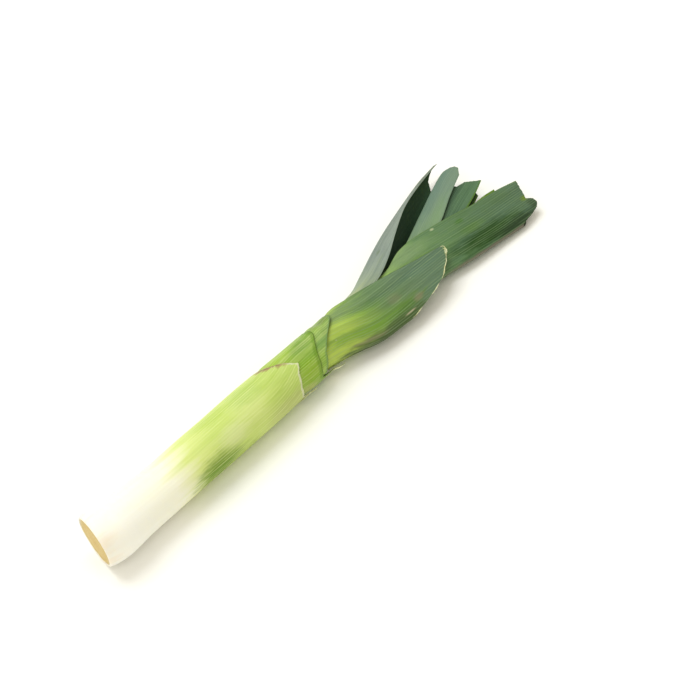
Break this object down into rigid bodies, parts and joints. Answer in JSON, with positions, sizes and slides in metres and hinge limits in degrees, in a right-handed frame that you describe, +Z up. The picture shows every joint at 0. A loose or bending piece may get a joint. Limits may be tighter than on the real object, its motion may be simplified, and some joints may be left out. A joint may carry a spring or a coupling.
{
  "type": "leek",
  "caption": "Trimmed leek lying on its side: a straight white shaft with a cut root plate, oblique cut sheath collars and a fan of folded leaves cut off short.",
  "frame": {"origin": "bottom centre of the bounding box, on the surface that the leek lies on", "axes": "+X from the root plate to the leaf tips along the shaft, +Y to the left of that seen from above, +Z up"},
  "size_m": [0.491, 0.0931, 0.0438],
  "materials": {
    "root_plate": "matt, dry cut tissue, tan",
    "outer_sheath": "smooth and waxy, white at the root and yellow-green at the collar",
    "second_sheath": "smooth and waxy, yellow-green",
    "third_sheath": "smooth and waxy, leaf green",
    "short_leaf": "matt, ribbed, yellow-green base turning dull blue-green",
    "left_leaf": "matt waxy bloom outside, dark green inside",
    "right_leaf": "soft sheen, ribbed, mid green turning dark",
    "round_tip_leaf": "matt waxy bloom, grey-green",
    "dark_leaf": "soft sheen, dark green",
    "inner_leaf": "soft sheen, bright green"
  },
  "bodies": {
    "root": {"root_plate": "root_plate", "outer_sheath": "outer_sheath", "second_sheath": "second_sheath", "third_sheath": "third_sheath", "short_leaf": "short_leaf", "left_leaf": "left_leaf", "right_leaf": "right_leaf", "round_tip_leaf": "round_tip_leaf", "dark_leaf": "dark_leaf", "inner_leaf": "inner_leaf"}
  },
  "joints": []
}
